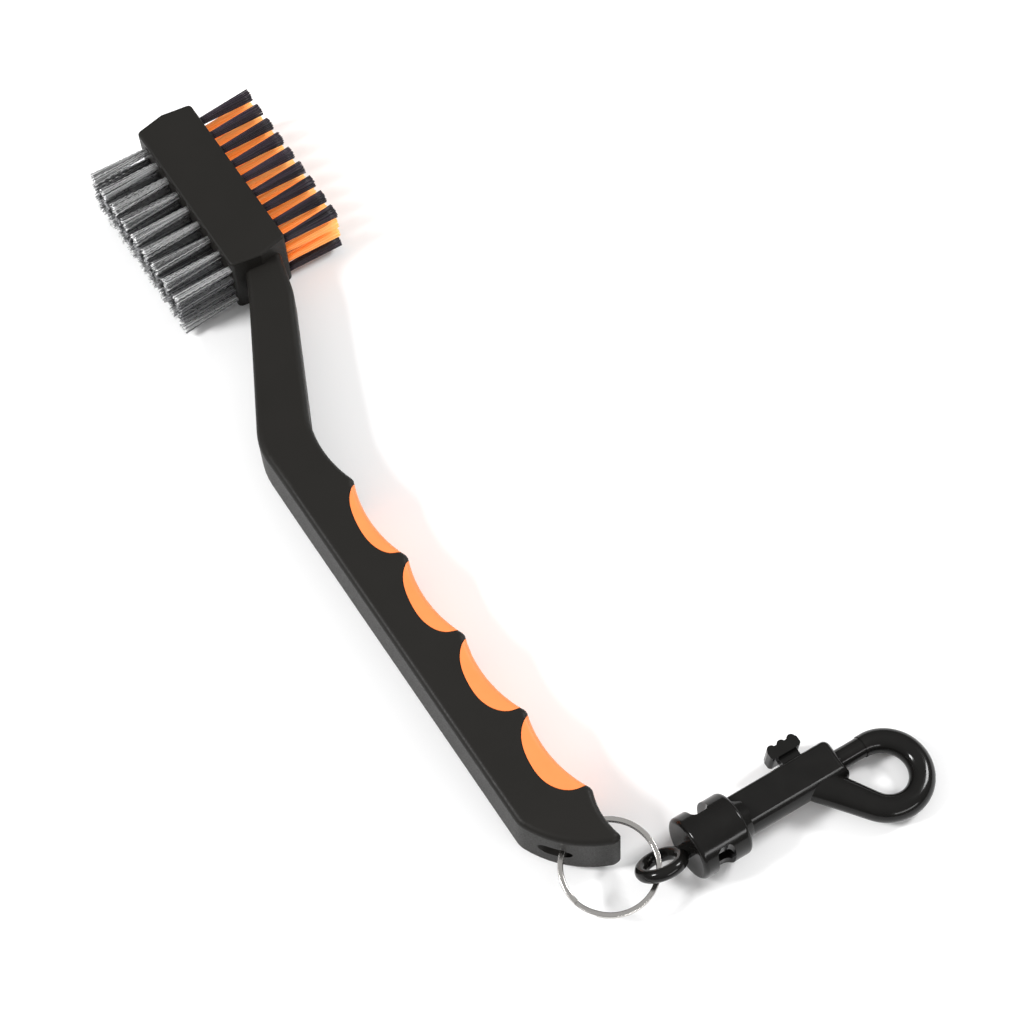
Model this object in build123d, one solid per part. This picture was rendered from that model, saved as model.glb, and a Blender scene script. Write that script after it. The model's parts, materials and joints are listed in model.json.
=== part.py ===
"""Golf club groove brush: a moulded handle with steel and nylon tufts, four soft
finger inserts, and a swivel bolt clip hung on a split ring.

Drawing frame, in millimetres: x runs from the toe of the grip to the head, y points
to the steel bristles and is zero on the head's centre line, z is up from the table
that the brush lies on. The last step moves everything so that the origin is at the
centre of the whole object's base.
"""
import os
from math import asin, atan2, cos, degrees, radians, sin, sqrt

from build123d import *

# ---------------------------------------------------------------- handle
HEAD_THICK = 18.5            # the head lies on one of its two broad faces
HEAD_HALF_WIDE = 7.0
HEAD_NEAR_X = 156.6          # points of the two blunt ends
HEAD_FAR_X = 201.1
HEAD_END_RISE = 1.2          # how far each blunt end stands out at its middle
HEAD_CORNER_R = 1.0
HEAD_EDGE_R = 0.6

MID_Z = HEAD_THICK / 2       # the whole moulding is symmetric about this plane
GRIP_THICK = 15.0
NECK_THICK = 10.0
GRIP_END_X = 102.0           # the grip starts to thin towards the neck here
NECK_START_X = 146.0         # and is down to the neck's thickness here
BACK_Y = 24.5                # straight back edge of the grip
GRIP_EDGE_R = 1.4
CUSP_R = 1.6
REACH = 60.0                 # further than the handle is wide, for cuts and blanks

CUSPS = [(99.0, 11.4), (77.2, 11.3), (55.4, 10.9), (33.8, 9.5), (12.2, 7.6)]
SCALLOP_DEPTH = 2.2

# ---------------------------------------------------------------- finger inserts
INSERT_DEPTHS = [5.3, 5.8, 6.4, 7.0]     # inward from the line of the cusps
INSERT_SHAPE = [             # distance from the head-side cusp, share of the depth
    (0.7, 0.0),
    (3.8, 0.65),
    (9.6, 0.98),
    (15.6, 0.97),
    (19.1, 0.66),
    (20.5, 0.0),
]
INSERT_OVERHANG = 3.0        # the cut runs this far out past the scallop
TONGUE_THICK = 3.0           # web of the handle that keys into each insert
TONGUE_LONG = 9.0
TONGUE_REACH = 2.0
SEAM_GAP = 0.12

# ---------------------------------------------------------------- tufts
TUFTS_PER_ROW = 9
ROWS_PER_SIDE = 4
TUFT_PITCH = 4.66
ROW_PITCH = 4.13
TUFT_MID_X = 177.6
HOLE_R = 0.95
HOLE_DEPTH = 5.2
NYLON_LENGTH = 13.2
STEEL_LENGTH = 14.0
NYLON_TIP_R = 1.60
STEEL_TIP_R = 1.45
STAPLE_THICK = 0.35
STAPLE_DEEP = 1.5
STAPLE_FLOOR = 0.8           # bristle folded under the staple
STAPLE_SHORT = 0.05

# ---------------------------------------------------------------- cord slot and split ring
SLOT_X = 7.2
SLOT_WIDE = 5.8
SLOT_HIGH = 4.0
RING_R = 10.05               # centre line of the wire
RING_WIRE_WIDE = 1.15        # the wire is flattened: wide in the ring's plane
RING_WIRE_THICK = 0.6
RING_TURN_GAP = 0.64         # between the centre lines of the two turns
RING_CENTRE_Y = 12.6
RING_HINGE_R = 8.84          # from the ring's centre to the line it swings about
RING_TILT = 5.0              # how far the ring droops at rest, degrees
RING_JOG_HALF = 14.0         # half the angle over which one turn steps to the next
RING_JOG_AT = 118.0          # where that step is, degrees round the ring

# ---------------------------------------------------------------- bolt snap
# Stations named ..._A are measured along the snap's axis from SNAP_Y towards the hook.
SNAP_X = -7.1
SNAP_Y = -0.2
FLANGE_R = 7.0
HOOK_REST_A = 55.0           # where the hook touches the table
HOOK_REST_R = 2.75           # its thickness there, with a hair's clearance
BARREL_REST_A = 13.6         # where the barrel touches the table
BARREL_A = 2.3
BARREL_END_A = 14.3
FLANGE_NEAR_END_A = 5.7
FLANGE_FAR_START_A = 9.8
SCOOP_LUG_SIDE = 3.6         # distance of each scoop's floor from the snap's axis
SCOOP_HOOK_SIDE = 4.9
SCOOP_CORNER_R = 1.3
FLANGE_EDGE_R = 1.0
BARREL_FLARE_R = 5.4
FLARE_END_A = 16.8
CHAMBER_A = 5.2
CHAMBER_END_A = 9.6
CHAMBER_R = 3.5
WINDOW_HIGH = 5.0
WINDOW_CORNER_R = 1.2

EYE_HOLE_R = 3.2
EYE_WIRE_IN_PLANE = 1.3      # half the loop's thickness, across its hole
EYE_WIRE_ACROSS = 1.45       # half its thickness through the loop's plane
EYE_GAP = 0.3
EYE_LEAN = 42.0              # the loop leans this far from upright, degrees
STEM_R = 1.7
STEM_PLAY = 0.05
STEM_HEAD_R = 3.2
STEM_HEAD_END_R = 1.6
STEM_HEAD_PLAY = 0.1         # between the stem's head and the chamber's near end
STEM_HEAD_SHORT = 0.5        # and at its far end

TUBE_R = 4.3
TUBE_HALF_HIGH = 3.5
TUBE_LUG_SIDE = 4.5
TUBE_END_A = 40.3
TUBE_CORNER_R = 1.0
TUBE_END_R = 1.6

BOLT_R = 2.25
BOLT_PLAY = 0.05
BOLT_BACK_A = 29.0
BOLT_TRAVEL = 7.0
SPRING_START_A = 17.0
NOSE_R = 1.3
NOSE_LONG = 0.9
NOSE_PLAY = 0.15

LUG_A = 28.0
LUG_LONG = 7.5
LUG_STEM_A = 29.9
LUG_STEM_LONG = 4.5
LUG_STEM_WIDE = 2.2
LUG_BAR_LOW = 6.4            # distance of the bar's underside from the snap's axis
LUG_BAR_HIGH = 8.9
LUG_WIDE = 5.0
LUG_CORNER_R = 0.8
LUG_RIDGE_R = 1.0
LUG_RIDGE_SINK = 0.4         # the ridges' centres lie this far inside the bar
LUG_RIDGES = 3
LUG_GAP = 0.3
LUG_PEG_R = 1.0
LUG_PEG_DEEP = 1.2

HOOK_TIP_A = 46.5
HOOK_LOOP_A = 47.2
HOOK_LOOP_R = 7.7
HOOK_TIP_R = 2.45
HOOK_SECTIONS = [            # share of the way to the tip, half width, half height
    (0.0, 4.0, 3.1),
    (0.22, 3.35, 3.0),
    (0.45, 2.9, 2.85),
    (0.75, 2.75, 2.7),
    (1.0, HOOK_TIP_R, HOOK_TIP_R),
]
HOOK_ROOT_A = 33.0
HOOK_ROOT_OUT = 1.0

SPRING_WIRE_R = 0.22
SPRING_R = 1.75
SPRING_TURNS = 9


# ---------------------------------------------------------------- small helpers
def unit_to(start, end):
    """Unit vector from one plan point to another."""
    length = sqrt((end[0] - start[0]) ** 2 + (end[1] - start[1]) ** 2)
    return ((end[0] - start[0]) / length, (end[1] - start[1]) / length)


def plan_point(start, end, along, inward):
    """Point a share of the way from start to end, set towards the grip's back."""
    ux, uy = unit_to(start, end)
    x = start[0] + along * (end[0] - start[0]) + inward * uy
    y = start[1] + along * (end[1] - start[1]) - inward * ux
    return (x, y)


def row_z(row):
    """Height of a row of tufts; row 0 is the lowest."""
    return MID_Z + (row - (ROWS_PER_SIDE - 1) / 2) * ROW_PITCH


def tuft_places(side, row):
    """Locations at the head's face for one row, z axis pointing out of the head."""
    places = []
    for number in range(TUFTS_PER_ROW):
        x = TUFT_MID_X + (number - (TUFTS_PER_ROW - 1) / 2) * TUFT_PITCH
        face = Plane(
            origin=(x, side * HEAD_HALF_WIDE, row_z(row)),
            x_dir=(1, 0, 0),
            z_dir=(0, side, 0),
        )
        places.append(face.location)
    return places


# ---------------------------------------------------------------- handle
def head_block():
    """Long blunt-ended block that holds the tufts."""
    corner_near = HEAD_NEAR_X + HEAD_END_RISE
    corner_far = HEAD_FAR_X - HEAD_END_RISE
    outline = Polyline(
        (HEAD_NEAR_X, 0),
        (corner_near, HEAD_HALF_WIDE),
        (corner_far, HEAD_HALF_WIDE),
        (HEAD_FAR_X, 0),
        (corner_far, -HEAD_HALF_WIDE),
        (corner_near, -HEAD_HALF_WIDE),
        close=True,
    )
    block = extrude(make_face(outline), HEAD_THICK)
    corners = block.edges().filter_by(Axis.Z).group_by(lambda edge: abs(edge.center().Y))[-1]
    block = fillet(corners, HEAD_CORNER_R)
    rims = block.faces().filter_by(Axis.Z).edges()
    return fillet(rims, HEAD_EDGE_R)


def grip_outline():
    """Plan outline of the neck and the grip, the neck's end buried in the head."""
    neck_back = (HEAD_NEAR_X + 5.0, 2.2)
    neck_front = (HEAD_NEAR_X + 5.0, -6.0)
    back_waist = (151.6, 6.7)
    back_bend = (117.5, BACK_Y)
    toe_back = (14.0, BACK_Y)
    toe_mid = (4.6, 18.0)
    toe_end = (-0.1, 10.5)
    toe_tip = (0.0, 8.1)
    front_hollow = (6.0, 9.0)
    front_bend = (117.0, 11.6)
    front_mid = (108.0, 13.1)
    front_waist = (147.5, -2.4)
    edges = [
        Line(neck_back, back_waist),
        Line(back_waist, back_bend),
        Line(back_bend, toe_back),
        ThreePointArc(toe_back, toe_mid, toe_end),
        Line(toe_end, toe_tip),
        ThreePointArc(toe_tip, front_hollow, CUSPS[-1]),
    ]
    for near, far in zip(CUSPS[:0:-1], CUSPS[-2::-1]):
        edges.append(ThreePointArc(near, plan_point(near, far, 0.5, -SCALLOP_DEPTH), far))
    edges += [
        ThreePointArc(CUSPS[0], front_mid, front_bend),
        Line(front_bend, front_waist),
        Line(front_waist, neck_front),
        Line(neck_front, neck_back),
    ]
    face = make_face(edges)
    softened = [
        (back_waist, 10.0),
        (back_bend, 16.0),
        (toe_back, 5.0),
        (toe_end, 1.6),
        (toe_tip, 1.0),
        (front_bend, 8.0),
        (front_waist, 12.0),
    ]
    softened += [(cusp, CUSP_R) for cusp in CUSPS]
    for place, radius in softened:
        corner = face.vertices().sort_by_distance((place[0], place[1], 0))[0]
        face = fillet(corner, radius)
    return face


def side_profile():
    """Outline seen from the finger side: the grip's thickness runs down to the neck's."""
    grip = GRIP_THICK / 2
    neck = NECK_THICK / 2
    level = (1, 0)
    edges = [
        Line((-REACH, MID_Z - grip), (GRIP_END_X, MID_Z - grip)),
        Spline(
            (GRIP_END_X, MID_Z - grip), (NECK_START_X, MID_Z - neck), tangents=[level, level]
        ),
        Line((NECK_START_X, MID_Z - neck), (HEAD_FAR_X, MID_Z - neck)),
        Line((HEAD_FAR_X, MID_Z - neck), (HEAD_FAR_X, MID_Z + neck)),
        Line((HEAD_FAR_X, MID_Z + neck), (NECK_START_X, MID_Z + neck)),
        Spline(
            (NECK_START_X, MID_Z + neck), (GRIP_END_X, MID_Z + grip), tangents=[(-1, 0), (-1, 0)]
        ),
        Line((GRIP_END_X, MID_Z + grip), (-REACH, MID_Z + grip)),
        Line((-REACH, MID_Z + grip), (-REACH, MID_Z - grip)),
    ]
    return make_face(edges)


def neck_and_grip():
    """Handle body with rounded edges, before the pockets and the slot are cut."""
    tall = extrude(grip_outline(), HEAD_THICK)
    side = extrude(Plane.XZ * side_profile(), REACH, both=True)
    body = tall & side
    upright = body.faces().filter_by(lambda face: abs(face.normal_at().Z) > 0.9)
    return fillet(upright.edges(), GRIP_EDGE_R)


def cord_slot():
    """Rounded slot right through the toe, from its slanted end to its front."""
    slot = SlotOverall(SLOT_WIDE, SLOT_HIGH)
    return Location((SLOT_X, REACH, MID_Z), (90, 0, 0)) * extrude(slot, 2 * REACH)


def insert_frame(number):
    """Plane at the head-side cusp: x towards the toe along the cusps, y out of the grip."""
    start, end = CUSPS[number], CUSPS[number + 1]
    ux, uy = unit_to(start, end)
    return Plane(origin=(start[0], start[1], MID_Z), x_dir=(ux, uy, 0), z_dir=(0, 0, 1))


def insert_space(number, shrink):
    """Space of one insert: full thickness, less the web that keys into its middle."""
    depth = INSERT_DEPTHS[number]
    start, end = INSERT_SHAPE[0][0], INSERT_SHAPE[-1][0]
    middle = (start + end) / 2
    squeeze = 1 - 2 * shrink / (end - start)
    inner = [
        (middle + squeeze * (x - middle), shrink - share * depth) for x, share in INSERT_SHAPE
    ]
    outline = [
        Spline(*inner),
        Line(inner[-1], (inner[-1][0], INSERT_OVERHANG)),
        Line((inner[-1][0], INSERT_OVERHANG), (inner[0][0], INSERT_OVERHANG)),
        Line((inner[0][0], INSERT_OVERHANG), inner[0]),
    ]
    space = extrude(make_face(outline), HEAD_THICK, both=True)
    web_middle = (INSERT_SHAPE[2][0] + INSERT_SHAPE[3][0]) / 2
    web = Pos(web_middle, -depth, 0) * Box(
        TONGUE_LONG + 2 * shrink, 2 * (TONGUE_REACH + shrink), TONGUE_THICK + 2 * shrink
    )
    return insert_frame(number).location * (space - web)


def finger_inserts(grip):
    """Four soft crescents flush with the grip's faces and scallops."""
    return [grip & insert_space(number, SEAM_GAP) for number in range(len(CUSPS) - 1)]


def handle(grip):
    """One-piece moulding: head, neck and grip, with every hole and pocket cut."""
    body = head_block() + grip
    drill = Pos(0, 0, -HOLE_DEPTH / 2) * Cylinder(HOLE_R, HOLE_DEPTH)
    holes = [
        place * drill
        for side in (-1, 1)
        for row in range(ROWS_PER_SIDE)
        for place in tuft_places(side, row)
    ]
    body -= holes
    body -= [insert_space(number, 0) for number in range(len(CUSPS) - 1)]
    return body - cord_slot()


# ---------------------------------------------------------------- tufts and staples
def staple():
    """Flat wire staple, cut to the hole's round wall, lying across the hole's floor."""
    height = -HOLE_DEPTH + STAPLE_FLOOR + STAPLE_DEEP / 2
    flat = Pos(0, 0, height) * Box(3 * HOLE_R, STAPLE_THICK, STAPLE_DEEP)
    return flat & Pos(0, 0, height) * Cylinder(HOLE_R - STAPLE_SHORT, STAPLE_DEEP)


def tuft(tip_r, length):
    """Bundle of bristles folded round a staple: a root in the hole and a flared brush."""
    height = -HOLE_DEPTH + STAPLE_FLOOR + STAPLE_DEEP / 2
    root = Pos(0, 0, -HOLE_DEPTH / 2) * Cylinder(HOLE_R, HOLE_DEPTH)
    flare = Pos(0, 0, length / 2) * Cone(HOLE_R, tip_r, length)
    fold = Pos(0, 0, height) * Box(3 * HOLE_R, STAPLE_THICK, STAPLE_DEEP)
    return root + flare - fold


def tuft_row(side, row, tip_r, length):
    """One row of separate tufts."""
    one = tuft(tip_r, length)
    return Compound([(place * one).solid() for place in tuft_places(side, row)])


def staple_set(side):
    """Every staple on one side of the head."""
    one = staple()
    rows = range(ROWS_PER_SIDE)
    return Compound([(place * one).solid() for row in rows for place in tuft_places(side, row)])


# ---------------------------------------------------------------- split ring
def ring_frame():
    """Plane of the ring at rest: x towards the toe, y along the slot."""
    tilt = radians(RING_TILT)
    centre = (
        SLOT_X - RING_HINGE_R * cos(tilt),
        RING_CENTRE_Y,
        MID_Z - RING_HINGE_R * sin(tilt),
    )
    return Plane(origin=centre, x_dir=(cos(tilt), 0, sin(tilt)), z_dir=(-sin(tilt), 0, cos(tilt)))


def split_ring():
    """Two turns of flattened wire on top of each other, with one step between them."""
    start = RING_JOG_AT + RING_JOG_HALF
    sweep_angle = 360 - 2 * RING_JOG_HALF
    low = CenterArc((0, 0, 0), RING_R, start, sweep_angle).moved(Pos(0, 0, -RING_TURN_GAP / 2))
    high = CenterArc((0, 0, 0), RING_R, start, sweep_angle).moved(Pos(0, 0, RING_TURN_GAP / 2))
    step_mid = (RING_R * cos(radians(RING_JOG_AT)), RING_R * sin(radians(RING_JOG_AT)), 0)
    step = Spline(low @ 1, step_mid, high @ 0, tangents=[low % 1, high % 0])
    path = Wire([low.edge(), step.edge(), high.edge()])
    across = Plane(origin=path @ 0, x_dir=(0, 0, 1), z_dir=path % 0)
    section = across * RectangleRounded(RING_WIRE_THICK, RING_WIRE_WIDE, RING_WIRE_THICK / 2.5)
    return ring_frame().location * sweep(section, path=path)


# ---------------------------------------------------------------- bolt snap
def snap_tilt():
    """Angle, in radians, at which the snap lies with barrel and hook on the table."""
    return asin((FLANGE_R - HOOK_REST_R) / (HOOK_REST_A - BARREL_REST_A))


def snap_frame():
    """The snap's own frame: x along its axis to the hook, y to the thumb lug, z up."""
    tilt = snap_tilt()
    start_z = FLANGE_R + BARREL_REST_A * sin(tilt)
    return Plane(
        origin=(SNAP_X, SNAP_Y, start_z),
        x_dir=(0, -cos(tilt), -sin(tilt)),
        z_dir=(0, -sin(tilt), cos(tilt)),
    )


def rod(radius, start, end):
    """Round bar along the snap's axis between two stations."""
    return Pos((start + end) / 2, 0, 0) * Rot(0, 90, 0) * Cylinder(radius, end - start)


def swivel_eye():
    """Loop with a stem whose head is caught inside the barrel."""
    loop_r = EYE_HOLE_R + EYE_WIRE_IN_PLANE
    centre_a = BARREL_A - EYE_GAP - loop_r - EYE_WIRE_IN_PLANE
    wire = Plane.XZ * Pos(loop_r, 0) * Ellipse(EYE_WIRE_IN_PLANE, EYE_WIRE_ACROSS)
    loop = revolve(wire, Axis.Z)
    loop = Pos(centre_a, 0, 0) * Rot(90 + EYE_LEAN, 0, 0) * loop
    stem = rod(STEM_R, centre_a + loop_r, CHAMBER_A + 1)
    head = rod(STEM_HEAD_R, CHAMBER_A + STEM_HEAD_PLAY, CHAMBER_END_A - STEM_HEAD_SHORT)
    head = fillet(head.edges().sort_by(Axis.X)[-1], STEM_HEAD_END_R)
    return loop + stem + head


def scoop(from_axis):
    """Cut with a rounded floor, right across the barrel on the lug's side."""
    middle = (FLANGE_NEAR_END_A + FLANGE_FAR_START_A) / 2
    length = FLANGE_FAR_START_A - FLANGE_NEAR_END_A
    deep = FLANGE_R
    block = Pos(middle, from_axis + deep / 2, 0) * Box(length, deep, 3 * FLANGE_R)
    floor_edges = block.edges().filter_by(Axis.Z).group_by(Axis.Y)[0]
    return fillet(floor_edges, SCOOP_CORNER_R)


def barrel():
    """Round barrel, scooped on both sides between its two flanges, and hollow."""
    body = rod(FLANGE_R, BARREL_A, BARREL_END_A)
    body = fillet(body.edges().filter_by(GeomType.CIRCLE), FLANGE_EDGE_R)
    flare_long = FLARE_END_A - BARREL_END_A + 1
    flare_mid = BARREL_END_A - 1 + flare_long / 2
    body += Pos(flare_mid, 0, 0) * Rot(0, 90, 0) * Cone(BARREL_FLARE_R, TUBE_R - 0.2, flare_long)
    body -= scoop(SCOOP_LUG_SIDE)
    body -= Rot(180, 0, 0) * scoop(SCOOP_HOOK_SIDE)
    body -= rod(STEM_R + STEM_PLAY, BARREL_A - 1, CHAMBER_A + 1)
    body -= rod(CHAMBER_R, CHAMBER_A, CHAMBER_END_A)
    window_long = FLANGE_FAR_START_A - FLANGE_NEAR_END_A
    window_mid = (FLANGE_FAR_START_A + FLANGE_NEAR_END_A) / 2
    window = RectangleRounded(window_long, WINDOW_HIGH, WINDOW_CORNER_R)
    window = Pos(window_mid, 0, 0) * Rot(90, 0, 0) * extrude(window, 2 * FLANGE_R, both=True)
    return body - window


def tube():
    """Bolt tube: round on the hook's side, squared on the lug's side, flat both faces."""
    section = Circle(TUBE_R)
    section += Pos(TUBE_LUG_SIDE / 2, 0) * Rectangle(TUBE_LUG_SIDE, 2 * TUBE_HALF_HIGH)
    section &= Rectangle(4 * TUBE_R, 2 * TUBE_HALF_HIGH)
    corners = section.vertices().group_by(Axis.X)[-1]
    section = fillet(corners, TUBE_CORNER_R)
    start = BARREL_END_A - 1
    across = Plane(origin=(start, 0, 0), x_dir=(0, 1, 0), z_dir=(1, 0, 0))
    body = extrude(across * section, TUBE_END_A - start)
    lug_end = body.edges().group_by(Axis.X)[-1].sort_by(Axis.Y)[-1]
    return fillet(lug_end, TUBE_END_R)


def hook_path():
    """Straight leg from inside the tube, then round the loop to the bolt's line."""
    leg = (HOOK_ROOT_A, -HOOK_ROOT_OUT)
    centre = (HOOK_LOOP_A, -HOOK_LOOP_R)
    reach = sqrt((centre[0] - leg[0]) ** 2 + (centre[1] - leg[1]) ** 2)
    heading = atan2(centre[1] - leg[1], centre[0] - leg[0])
    lean = asin(HOOK_LOOP_R / reach)
    leave = degrees(heading - lean) - 90
    leave_point = (
        centre[0] + HOOK_LOOP_R * cos(radians(leave)),
        centre[1] + HOOK_LOOP_R * sin(radians(leave)),
    )
    straight = Line(leg, leave_point)
    turn = CenterArc(centre, HOOK_LOOP_R, leave, 90 - leave)
    return straight, turn


def hook():
    """Hook that starts stout at the tube and thins to its tip."""
    straight, turn = hook_path()
    path = Wire([straight.edge(), turn.edge()])
    sections = [
        Plane(origin=path @ share, x_dir=(0, 0, 1), z_dir=path % share) * Ellipse(high, wide)
        for share, wide, high in HOOK_SECTIONS
    ]
    body = sweep(sections, path=path, multisection=True)
    tip = rod(HOOK_TIP_R, HOOK_TIP_A, HOOK_LOOP_A)
    socket = rod(NOSE_R + NOSE_PLAY, HOOK_TIP_A - 1, HOOK_TIP_A + NOSE_LONG + NOSE_PLAY)
    return body + tip - socket


def snap_body():
    """One moulding: barrel, tube and hook, bored for the bolt and slotted for its lug."""
    body = barrel() + tube() + hook()
    body -= rod(BOLT_R + BOLT_PLAY, SPRING_START_A, TUBE_END_A + 1)
    slot_start = LUG_STEM_A - BOLT_TRAVEL - LUG_GAP
    slot_end = LUG_STEM_A + LUG_STEM_LONG + LUG_GAP
    slot = Box(slot_end - slot_start, 2 * TUBE_R, LUG_STEM_WIDE + 2 * LUG_GAP)
    return body - Pos((slot_start + slot_end) / 2, TUBE_R, 0) * slot


def gate_bolt():
    """Sliding bolt: a rod with a thin nose, and a hole for the thumb lug's peg."""
    body = rod(BOLT_R, BOLT_BACK_A, HOOK_TIP_A)
    body += rod(NOSE_R, HOOK_TIP_A - 1, HOOK_TIP_A + NOSE_LONG)
    peg_a = LUG_STEM_A + LUG_STEM_LONG / 2
    flat = Pos(peg_a, BOLT_R, 0) * Box(LUG_STEM_LONG, 1.0, LUG_STEM_WIDE)
    peg_hole = Pos(peg_a, BOLT_R - LUG_PEG_DEEP, 0) * Rot(90, 0, 0) * Cylinder(
        LUG_PEG_R, 2 * LUG_PEG_DEEP
    )
    return body - flat - peg_hole


def thumb_lug():
    """Ribbed bar on a flat stem, pressed into the bolt through the tube's slot."""
    bar_mid = LUG_A + LUG_LONG / 2
    bar_thick = LUG_BAR_HIGH - LUG_BAR_LOW
    bar = Pos(bar_mid, (LUG_BAR_HIGH + LUG_BAR_LOW) / 2, 0) * Box(LUG_LONG, bar_thick, LUG_WIDE)
    bar = fillet(bar.edges().filter_by(Axis.Z), LUG_CORNER_R)
    spacing = LUG_LONG / LUG_RIDGES
    for number in range(LUG_RIDGES):
        place = (LUG_A + (number + 0.5) * spacing, LUG_BAR_HIGH - LUG_RIDGE_SINK, 0)
        bar += Pos(*place) * Cylinder(LUG_RIDGE_R, LUG_WIDE)
    stem_low = BOLT_R - 0.5
    stem_mid = LUG_STEM_A + LUG_STEM_LONG / 2
    stem_high = LUG_BAR_LOW + 0.5
    stem = Pos(stem_mid, (stem_low + stem_high) / 2, 0) * Box(
        LUG_STEM_LONG, stem_high - stem_low, LUG_STEM_WIDE
    )
    peg_long = 2 * LUG_PEG_DEEP
    peg = Pos(stem_mid, BOLT_R - LUG_PEG_DEEP, 0) * Rot(90, 0, 0) * Cylinder(LUG_PEG_R, peg_long)
    return bar + stem + peg


def bolt_spring():
    """Compression spring between the tube's floor and the bolt."""
    wire_gap = SPRING_WIRE_R + 0.05
    long = BOLT_BACK_A - SPRING_START_A - 2 * wire_gap
    coil = Helix(long / SPRING_TURNS, long, SPRING_R)
    section = Plane(origin=coil @ 0, z_dir=coil % 0) * Circle(SPRING_WIRE_R)
    spring = sweep(section, path=coil, is_frenet=True)
    return Pos(SPRING_START_A + wire_gap, 0, 0) * Rot(0, 90, 0) * spring


# ---------------------------------------------------------------- assembly
def build():
    """Every node at rest, in the drawing frame."""
    grip = neck_and_grip()
    nodes = {"handle": handle(grip)}
    for number, insert in enumerate(finger_inserts(grip)):
        nodes[f"finger_insert_{number + 1}"] = insert
    nylon_names = ["black_bottom", "orange_lower", "orange_upper", "black_top"]
    for row, name in enumerate(nylon_names):
        nodes[f"nylon_row_{name}"] = tuft_row(-1, row, NYLON_TIP_R, NYLON_LENGTH)
    steel_names = ["bottom", "lower", "upper", "top"]
    for row, name in enumerate(steel_names):
        nodes[f"steel_row_{name}"] = tuft_row(1, row, STEEL_TIP_R, STEEL_LENGTH)
    nodes["nylon_anchor_staples"] = staple_set(-1)
    nodes["steel_anchor_staples"] = staple_set(1)
    nodes["split_ring"] = split_ring()
    snap = snap_frame().location
    nodes["swivel_eye"] = snap * swivel_eye()
    nodes["snap_body"] = snap * snap_body()
    nodes["gate_bolt"] = snap * gate_bolt()
    nodes["thumb_lug"] = snap * thumb_lug()
    nodes["bolt_spring"] = snap * bolt_spring()
    return nodes


def base_centre(nodes):
    """Shift that brings the middle of the whole object's base to the origin."""
    box = Compound([solid for node in nodes.values() for solid in node.solids()]).bounding_box()
    return Vector(-(box.min.X + box.max.X) / 2, -(box.min.Y + box.max.Y) / 2, -box.min.Z)


if __name__ == "__main__":
    os.makedirs("parts", exist_ok=True)
    all_nodes = build()
    shift = base_centre(all_nodes)
    for node_name, shape in all_nodes.items():
        solids = [solid.moved(Location(shift)) for solid in shape.solids()]
        placed = solids[0] if len(solids) == 1 else Compound(solids)
        export_step(placed, f"parts/{node_name}.step")
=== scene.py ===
"""Looks of the club groove brush: separate bristle strands, a coiled spring, and procedural
plastics, rubber and steel, in a plain studio."""

import json
import math
import random

import bpy
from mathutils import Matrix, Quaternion, Vector

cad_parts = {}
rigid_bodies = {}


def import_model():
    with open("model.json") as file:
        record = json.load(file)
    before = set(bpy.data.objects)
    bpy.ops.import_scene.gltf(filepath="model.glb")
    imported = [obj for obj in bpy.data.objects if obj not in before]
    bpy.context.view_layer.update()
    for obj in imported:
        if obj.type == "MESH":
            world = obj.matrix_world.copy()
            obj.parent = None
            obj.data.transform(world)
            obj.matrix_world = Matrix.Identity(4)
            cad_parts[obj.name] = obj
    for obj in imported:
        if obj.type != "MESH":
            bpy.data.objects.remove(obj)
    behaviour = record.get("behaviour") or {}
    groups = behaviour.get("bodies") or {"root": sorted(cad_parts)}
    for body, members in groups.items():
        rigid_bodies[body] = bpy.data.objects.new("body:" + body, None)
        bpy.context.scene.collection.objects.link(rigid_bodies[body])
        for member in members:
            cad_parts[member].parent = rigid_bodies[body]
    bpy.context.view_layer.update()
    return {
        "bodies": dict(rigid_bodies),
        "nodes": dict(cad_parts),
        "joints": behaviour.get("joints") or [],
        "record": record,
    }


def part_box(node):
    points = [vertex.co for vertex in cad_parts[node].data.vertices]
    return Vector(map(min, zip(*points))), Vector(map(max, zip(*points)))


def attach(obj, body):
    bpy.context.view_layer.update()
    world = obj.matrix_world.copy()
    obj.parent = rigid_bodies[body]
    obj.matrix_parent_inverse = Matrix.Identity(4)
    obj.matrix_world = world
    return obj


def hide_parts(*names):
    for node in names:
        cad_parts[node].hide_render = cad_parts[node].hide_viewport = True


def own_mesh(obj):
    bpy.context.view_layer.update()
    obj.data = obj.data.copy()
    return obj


MM = 0.001

# ---------------------------------------------------------------- bristles
HEAD_CENTRE_Y = 16.53 * MM
HEAD_HALF_WIDE = 7.0 * MM
HEAD_MIDDLE_Z = 9.25 * MM
UNSHADED_ROWS_FROM = 5.0 * MM    # height from the head's middle beyond which the steel wire gets no painted shade
FULL_SHADE_ROWS_TO = 4.0 * MM      # and within which the two middle rows get full painted shade
TUFTS_PER_ROW = 9
STRAND_START = -1.0 * MM     # strands begin inside their holes, below the head's face
NYLON_SIDE = -1              # towards -Y
STEEL_SIDE = 1
NYLON_SEED = 11              # each row has its own seed, counted up from these
STEEL_SEED = 21
STRAND_SHARE = 0.4           # how much of orange_nylon's colour goes by strand, not by place
SUNFLOWER_TURN = math.pi * (3 - math.sqrt(5))

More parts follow.
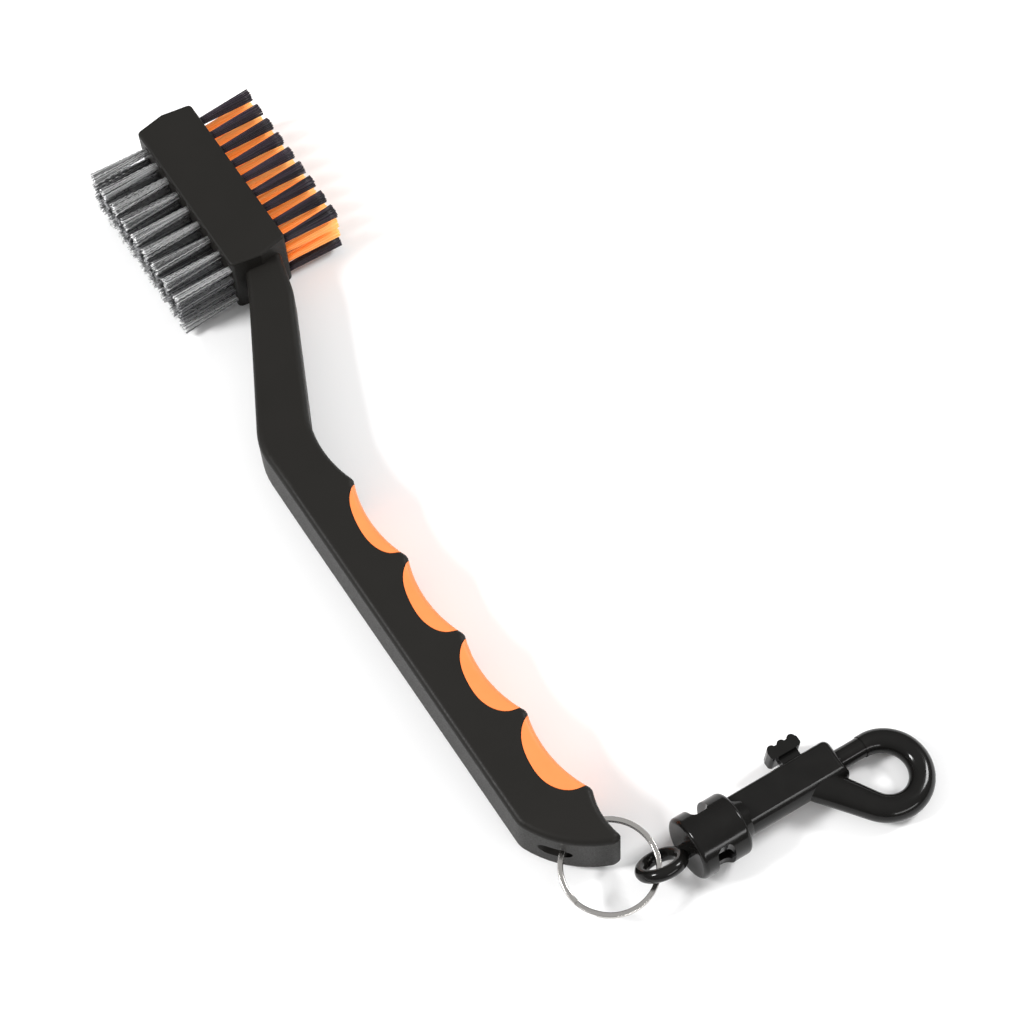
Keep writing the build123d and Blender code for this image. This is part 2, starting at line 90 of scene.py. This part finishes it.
NYLON = {
    "strands": 52,
    "radius": 0.15 * MM,
    "sides": 4,
    "length": 13.2 * MM,
    "uneven": 0.10 * MM,
    "root_spread": 0.80 * MM,
    "tip_spread": 1.45 * MM,
    "stray": 0.07 * MM,
    "steps": 6,
    "crimp": 0.0,
    "crimp_length": 3.0 * MM,
}
STEEL = {
    "strands": 36,
    "radius": 0.11 * MM,
    "sides": 3,
    "length": 14.0 * MM,
    "uneven": 0.22 * MM,
    "root_spread": 0.85 * MM,
    "tip_spread": 1.50 * MM,
    "stray": 0.20 * MM,
    "steps": 28,
    "crimp": 0.10 * MM,
    "crimp_length": 1.7 * MM,
}

# ---------------------------------------------------------------- camera
CAMERA_AT = Vector((-258.23, 139.52, 588.24)) * MM
CAMERA_AIM = Vector((-11.27, 2.31, 9.0)) * MM
CAMERA_ROLL = math.radians(-4.18)
CAMERA_LENS = 105.47
CAMERA_SENSOR = 36
CAMERA_NEAR = 0.01

# ---------------------------------------------------------------- studio
FLOOR_WIDE = 4.0
SKY_AT_SIDES = 0.22
SKY_OVERHEAD = 0.66
SKY_LOW = 0.15               # rise above the horizon, as a sine, where the sky brightens from
SKY_HIGH = 0.95              # and where it is brightest
LIGHTS = [                   # name, place, width, height, power
    ("key", (0.25, 0.75, 0.75), 0.25, 0.25, 11),
    ("fill", (-0.10, -0.85, 0.75), 0.30, 0.30, 9),
    ("strip", (-0.95, -0.22, 0.42), 0.70, 0.12, 2.6),
]
FILAMENT_GLOW = 0.24       # painted glow, standing for the light that clear filament carries along it

# ---------------------------------------------------------------- materials
class Shader:
    """A material with one glossy surface, and helpers to add detail to it."""

    def __init__(self, name, base, roughness, metallic=0.0):
        self.material = bpy.data.materials.new(name)
        self.material.use_nodes = True
        self.nodes = self.material.node_tree.nodes
        self.links = self.material.node_tree.links
        self.surface = self.nodes["Principled BSDF"]
        self.surface.inputs["Base Color"].default_value = (*base, 1)
        self.surface.inputs["Roughness"].default_value = roughness
        self.surface.inputs["Metallic"].default_value = metallic
        self.place = self.nodes.new("ShaderNodeTexCoord").outputs["Object"]
        self.bumps = None

    def noise(self, size, detail=2.0, stretch=(1, 1, 1)):
        """Cloudy pattern with features about size metres across."""
        mapping = self.nodes.new("ShaderNodeMapping")
        mapping.inputs["Scale"].default_value = stretch
        self.links.new(self.place, mapping.inputs["Vector"])
        texture = self.nodes.new("ShaderNodeTexNoise")
        texture.inputs["Scale"].default_value = 1 / size
        texture.inputs["Detail"].default_value = detail
        self.links.new(mapping.outputs["Vector"], texture.inputs["Vector"])
        return texture.outputs["Fac"]

    def ramp(self, factor, low, high):
        """Value that runs from low to high as factor runs from 0.3 to 0.7."""
        node = self.nodes.new("ShaderNodeMapRange")
        node.inputs["From Min"].default_value = 0.3
        node.inputs["From Max"].default_value = 0.7
        node.inputs["To Min"].default_value = low
        node.inputs["To Max"].default_value = high
        self.links.new(factor, node.inputs["Value"])
        return node.outputs["Result"]

    def blend(self, factor, first, second):
        """Colour between two colours."""
        node = self.nodes.new("ShaderNodeMix")
        node.data_type = "RGBA"
        self.links.new(factor, node.inputs["Factor"])
        for socket, colour in ((node.inputs["A"], first), (node.inputs["B"], second)):
            if isinstance(colour, tuple):
                socket.default_value = (*colour, 1)
            else:
                self.links.new(colour, socket)
        return node.outputs["Result"]

    def colour(self, output):
        self.links.new(output, self.surface.inputs["Base Color"])

    def roughness(self, output):
        self.links.new(output, self.surface.inputs["Roughness"])

    def bump(self, output, height, strength=1.0):
        """Relief of that height in metres, on top of any relief already there."""
        node = self.nodes.new("ShaderNodeBump")
        node.inputs["Strength"].default_value = strength
        node.inputs["Distance"].default_value = height
        self.links.new(output, node.inputs["Height"])
        if self.bumps is not None:
            self.links.new(self.bumps, node.inputs["Normal"])
        self.bumps = node.outputs["Normal"]
        self.links.new(self.bumps, self.surface.inputs["Normal"])


def black_plastic():
    """Satin moulded plastic with a fine spark-eroded grain."""
    shader = Shader("black_plastic", (0.0115, 0.0107, 0.0095), 0.46)
    shader.surface.inputs["Specular IOR Level"].default_value = 0.14
    clouds = shader.noise(14 * MM, 3)
    grain = shader.noise(0.35 * MM, 2)
    shader.colour(shader.blend(clouds, (0.0100, 0.0094, 0.0082), (0.0135, 0.0125, 0.0112)))
    shader.roughness(shader.ramp(grain, 0.40, 0.54))
    shader.bump(grain, 0.012 * MM)
    shader.bump(shader.noise(3.5 * MM), 0.012 * MM)
    return shader.material


def gloss_black_plastic():
    """Shiny moulded plastic, slightly wavy as it cooled."""
    shader = Shader("gloss_black_plastic", (0.006, 0.0058, 0.0055), 0.14)
    shader.surface.inputs["Specular IOR Level"].default_value = 0.20
    waves = shader.noise(4.0 * MM, 2)
    shader.roughness(shader.ramp(waves, 0.11, 0.18))
    shader.colour(shader.blend(waves, (0.005, 0.0048, 0.0045), (0.008, 0.0076, 0.0070)))
    shader.bump(waves, 0.012 * MM)
    return shader.material


def orange_rubber():
    """Soft two-shot insert: even colour, very fine matte grain."""
    shader = Shader("orange_rubber", (1.0, 0.30, 0.045), 0.52)
    clouds = shader.noise(5 * MM, 2)
    grain = shader.noise(0.25 * MM, 2)
    shader.colour(shader.blend(clouds, (0.84, 0.205, 0.048), (0.90, 0.240, 0.062)))
    shader.roughness(shader.ramp(grain, 0.42, 0.56))
    shader.bump(grain, 0.010 * MM)
    return shader.material


def strand_random(shader):
    """A value that differs from strand to strand."""
    return shader.nodes.new("ShaderNodeNewGeometry").outputs["Random Per Island"]


def towards_tip(shader):
    """0 at the head's face and 1 at the tips of the nylon."""
    split = shader.nodes.new("ShaderNodeSeparateXYZ")
    shader.links.new(shader.place, split.inputs["Vector"])
    node = shader.nodes.new("ShaderNodeMapRange")
    face = HEAD_CENTRE_Y - HEAD_HALF_WIDE
    node.inputs["From Min"].default_value = face
    node.inputs["From Max"].default_value = face - NYLON["length"]
    shader.links.new(split.outputs["Y"], node.inputs["Value"])
    return node.outputs["Result"]


def black_nylon():
    """Black filament with a faint purple cast."""
    shader = Shader("black_nylon", (0.014, 0.010, 0.014), 0.34)
    strand = strand_random(shader)
    shader.colour(shader.blend(strand, (0.006, 0.0045, 0.007), (0.034, 0.022, 0.036)))
    shader.roughness(shader.ramp(shader.noise(1.2 * MM), 0.28, 0.42))
    return shader.material


def orange_nylon():
    """Clear orange filament, deep at the roots and pale at the cut ends, with a painted glow."""
    shader = Shader("orange_nylon", (1.0, 0.3, 0.05), 0.36)
    strand = strand_random(shader)
    along = shader.blend(towards_tip(shader), (1.0, 0.20, 0.008), (1.0, 0.52, 0.15))
    pale = shader.blend(strand, (1.0, 0.26, 0.015), (1.0, 0.66, 0.28))
    mixed = shader.nodes.new("ShaderNodeMix")
    mixed.data_type = "RGBA"
    mixed.inputs["Factor"].default_value = STRAND_SHARE
    shader.links.new(along, mixed.inputs["A"])
    shader.links.new(pale, mixed.inputs["B"])
    shader.colour(mixed.outputs["Result"])
    # painted glow: the filament's colour is also emitted, as if lit from within
    shader.links.new(mixed.outputs["Result"], shader.surface.inputs["Emission Color"])
    shader.surface.inputs["Emission Strength"].default_value = FILAMENT_GLOW
    shader.roughness(shader.ramp(shader.noise(1.2 * MM), 0.30, 0.45))
    return shader.material


def painted_shade_in_brush(shader):
    """Painted shade mask: 1 along the two middle rows of tufts, which lie in shade deep in the
    brush, and 0 along the two outer rows.
    """
    split = shader.nodes.new("ShaderNodeSeparateXYZ")
    shader.links.new(shader.place, split.inputs["Vector"])
    offset = shader.nodes.new("ShaderNodeMath")
    offset.operation = "SUBTRACT"
    offset.inputs[1].default_value = HEAD_MIDDLE_Z
    shader.links.new(split.outputs["Z"], offset.inputs[0])
    distance = shader.nodes.new("ShaderNodeMath")
    distance.operation = "ABSOLUTE"
    shader.links.new(offset.outputs["Value"], distance.inputs[0])
    node = shader.nodes.new("ShaderNodeMapRange")
    node.inputs["From Min"].default_value = UNSHADED_ROWS_FROM
    node.inputs["From Max"].default_value = FULL_SHADE_ROWS_TO
    shader.links.new(distance.outputs["Value"], node.inputs["Value"])
    return node.outputs["Result"]


def steel_wire():
    """Drawn steel wire, with painted shade darkening the two middle rows of tufts."""
    shader = Shader("steel_wire", (0.5, 0.5, 0.5), 0.35, metallic=1.0)
    strand = strand_random(shader)
    bright = shader.blend(strand, (0.16, 0.16, 0.165), (1.0, 1.0, 1.0))
    # painted shade: wire in the two middle rows is painted darker for the shade deep in the brush
    painted_shade_wire = shader.blend(strand, (0.06, 0.06, 0.063), (0.42, 0.42, 0.43))
    shader.colour(shader.blend(painted_shade_in_brush(shader), bright, painted_shade_wire))
    shader.roughness(shader.ramp(shader.noise(0.8 * MM), 0.26, 0.44))
    return shader.material


def polished_steel(name, base, roughness):
    """Bright wire with faint drawing marks."""
    shader = Shader(name, base, roughness, metallic=1.0)
    marks = shader.noise(0.3 * MM, 3)
    shader.roughness(shader.ramp(marks, roughness - 0.05, roughness + 0.08))
    shader.bump(marks, 0.004 * MM)
    return shader.material


def floor_material():
    shader = Shader("floor", (0.93, 0.93, 0.93), 0.7)
    shader.colour(shader.blend(shader.noise(0.3), (0.92, 0.92, 0.92), (0.94, 0.94, 0.94)))
    return shader.material


# ---------------------------------------------------------------- strands
def strand_line(kind, centre, side, number, chance):
    """Points along one strand, from inside its hole to its cut end."""
    turn = number * SUNFLOWER_TURN
    share = math.sqrt((number + 0.5) / kind["strands"])
    root = share * kind["root_spread"]
    tip = share * kind["tip_spread"]
    stray_x = chance.gauss(0, kind["stray"])
    stray_z = chance.gauss(0, kind["stray"])
    length = kind["length"] + chance.uniform(-kind["uneven"], kind["uneven"])
    phase = chance.uniform(0, math.tau)
    lean = chance.uniform(0, math.tau)
    points = []
    for step in range(kind["steps"] + 1):
        out = STRAND_START + (length - STRAND_START) * step / kind["steps"]
        along = max(out, 0) / length
        radius = root + (tip - root) * along
        wave = kind["crimp"] * math.sin(math.tau * out / kind["crimp_length"] + phase)
        x = centre.x + radius * math.cos(turn) + stray_x * along**2 + wave * math.cos(lean)
        z = centre.z + radius * math.sin(turn) + stray_z * along**2 + wave * math.sin(lean)
        points.append(Vector((x, centre.y + side * out, z)))
    return points


def add_tube(vertices, faces, points, radius, sides):
    """Adds a closed round tube of few sides along nearly straight points."""
    first = len(vertices)
    axis = (points[-1] - points[0]).normalized()
    across = axis.cross(Vector((0, 0, 1))).normalized()
    upward = across.cross(axis)
    for point in points:
        for side in range(sides):
            angle = math.tau * side / sides
            vertices.append(point + radius * (math.cos(angle) * across + math.sin(angle) * upward))
    for ring in range(len(points) - 1):
        for side in range(sides):
            after = (side + 1) % sides
            low = first + ring * sides
            high = low + sides
            faces.append((low + side, low + after, high + after, high + side))
    faces.append(tuple(first + side for side in reversed(range(sides))))
    last = first + (len(points) - 1) * sides
    faces.append(tuple(last + side for side in range(sides)))


def bristle_row(node, kind, side, material, seed):
    """One row of tufts as separate strands, in place of the CAD row's cones."""
    chance = random.Random(seed)
    low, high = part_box(node)
    end_radius = (high.z - low.z) / 2
    first_x = low.x + end_radius
    pitch = (high.x - low.x - 2 * end_radius) / (TUFTS_PER_ROW - 1)
    vertices = []
    faces = []
    for tuft in range(TUFTS_PER_ROW):
        centre = Vector((
            first_x + tuft * pitch,
            HEAD_CENTRE_Y + side * HEAD_HALF_WIDE,
            (low.z + high.z) / 2,
        ))
        for number in range(kind["strands"]):
            line = strand_line(kind, centre, side, number, chance)
            add_tube(vertices, faces, line, kind["radius"], kind["sides"])
    mesh = bpy.data.meshes.new(node + "_strands")
    mesh.from_pydata(vertices, [], faces)
    mesh.materials.append(material)
    mesh.polygons.foreach_set("use_smooth", [True] * len(mesh.polygons))
    strands = bpy.data.objects.new(node + "_strands", mesh)
    bpy.context.scene.collection.objects.link(strands)
    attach(strands, "brush")
    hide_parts(node)


# ---------------------------------------------------------------- spring piece
def coiled_spring(frame, material):
    """The bolt's spring, as a copy of the CAD spring with its own mesh and material."""
    node = frame["nodes"]["bolt_spring"]
    spring = bpy.data.objects.new("coiled_spring", node.data.copy())
    spring.matrix_world = node.matrix_world
    spring.data.materials.clear()
    spring.data.materials.append(material)
    bpy.context.scene.collection.objects.link(spring)
    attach(spring, "snap")
    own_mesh(spring)
    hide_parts("bolt_spring")


# ---------------------------------------------------------------- scene
def paint(frame, material, *names):
    """Gives CAD nodes a material."""
    for name in names:
        node = frame["nodes"][name]
        node.data.materials.clear()
        node.data.materials.append(material)


def area_light(name, place, aim, wide, tall, power):
    """Soft box at place, pointed at aim."""
    lamp = bpy.data.lights.new(name, "AREA")
    lamp.shape = "RECTANGLE"
    lamp.size = wide
    lamp.size_y = tall
    lamp.energy = power
    holder = bpy.data.objects.new(name, lamp)
    holder.location = place
    holder.rotation_euler = (aim - place).to_track_quat("-Z", "Y").to_euler()
    bpy.context.scene.collection.objects.link(holder)


def sky():
    """Surroundings that are bright overhead and dim at the sides."""
    world = bpy.data.worlds.new("studio")
    world.use_nodes = True
    nodes = world.node_tree.nodes
    links = world.node_tree.links
    split = nodes.new("ShaderNodeSeparateXYZ")
    links.new(nodes.new("ShaderNodeTexCoord").outputs["Generated"], split.inputs["Vector"])
    rise = nodes.new("ShaderNodeMapRange")
    rise.inputs["From Min"].default_value = SKY_LOW
    rise.inputs["From Max"].default_value = SKY_HIGH
    rise.inputs["To Min"].default_value = SKY_AT_SIDES
    rise.inputs["To Max"].default_value = SKY_OVERHEAD
    links.new(split.outputs["Z"], rise.inputs["Value"])
    background = nodes["Background"]
    background.inputs["Color"].default_value = (1, 1, 1, 1)
    links.new(rise.outputs["Result"], background.inputs["Strength"])
    bpy.context.scene.world = world


def studio():
    """Pale floor, soft surroundings, two soft boxes and a low strip light past the toe."""
    bpy.ops.mesh.primitive_plane_add(size=FLOOR_WIDE)
    floor = bpy.context.object
    floor.name = "floor"
    floor.data.materials.append(floor_material())
    sky()
    middle = Vector((0, 0, 0))
    for name, place, wide, tall, power in LIGHTS:
        area_light(name, Vector(place), middle, wide, tall, power)
    bpy.context.scene.view_settings.view_transform = "Standard"


def camera():
    """Looks down at the brush from beyond its toe, turned on its side."""
    lens = bpy.data.cameras.new("camera")
    lens.sensor_width = CAMERA_SENSOR
    lens.lens = CAMERA_LENS
    lens.clip_start = CAMERA_NEAR
    holder = bpy.data.objects.new("camera", lens)
    aim = (CAMERA_AIM - CAMERA_AT).to_track_quat("-Z", "Y")
    roll = Quaternion((0, 0, 1), CAMERA_ROLL)
    holder.location = CAMERA_AT
    holder.rotation_mode = "QUATERNION"
    holder.rotation_quaternion = aim @ roll
    bpy.context.scene.collection.objects.link(holder)
    bpy.context.scene.camera = holder


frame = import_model()

paint(frame, black_plastic(), "handle")
paint(frame, orange_rubber(), *[f"finger_insert_{number}" for number in range(1, 5)])
gloss = gloss_black_plastic()
paint(frame, gloss, "swivel_eye", "snap_body", "gate_bolt", "thumb_lug")
paint(frame, polished_steel("ring_steel", (0.50, 0.485, 0.465), 0.17), "split_ring")
coiled_spring(frame, polished_steel("spring_steel", (0.55, 0.55, 0.55), 0.3))
brass = polished_steel("staple_brass", (0.70, 0.52, 0.24), 0.3)
paint(frame, brass, "nylon_anchor_staples", "steel_anchor_staples")

black_strand = black_nylon()
orange_strand = orange_nylon()
steel_strand = steel_wire()
nylon_rows = [
    ("black_bottom", black_strand, "black_nylon"),
    ("orange_lower", orange_strand, "orange_nylon"),
    ("orange_upper", orange_strand, "orange_nylon"),
    ("black_top", black_strand, "black_nylon"),
]
for row, (place, strand, finish) in enumerate(nylon_rows):
    bristle_row(f"nylon_row_{place}", NYLON, NYLON_SIDE, strand, NYLON_SEED + row)
for row, place in enumerate(["bottom", "lower", "upper", "top"]):
    bristle_row(f"steel_row_{place}", STEEL, STEEL_SIDE, steel_strand, STEEL_SEED + row)

studio()
camera()
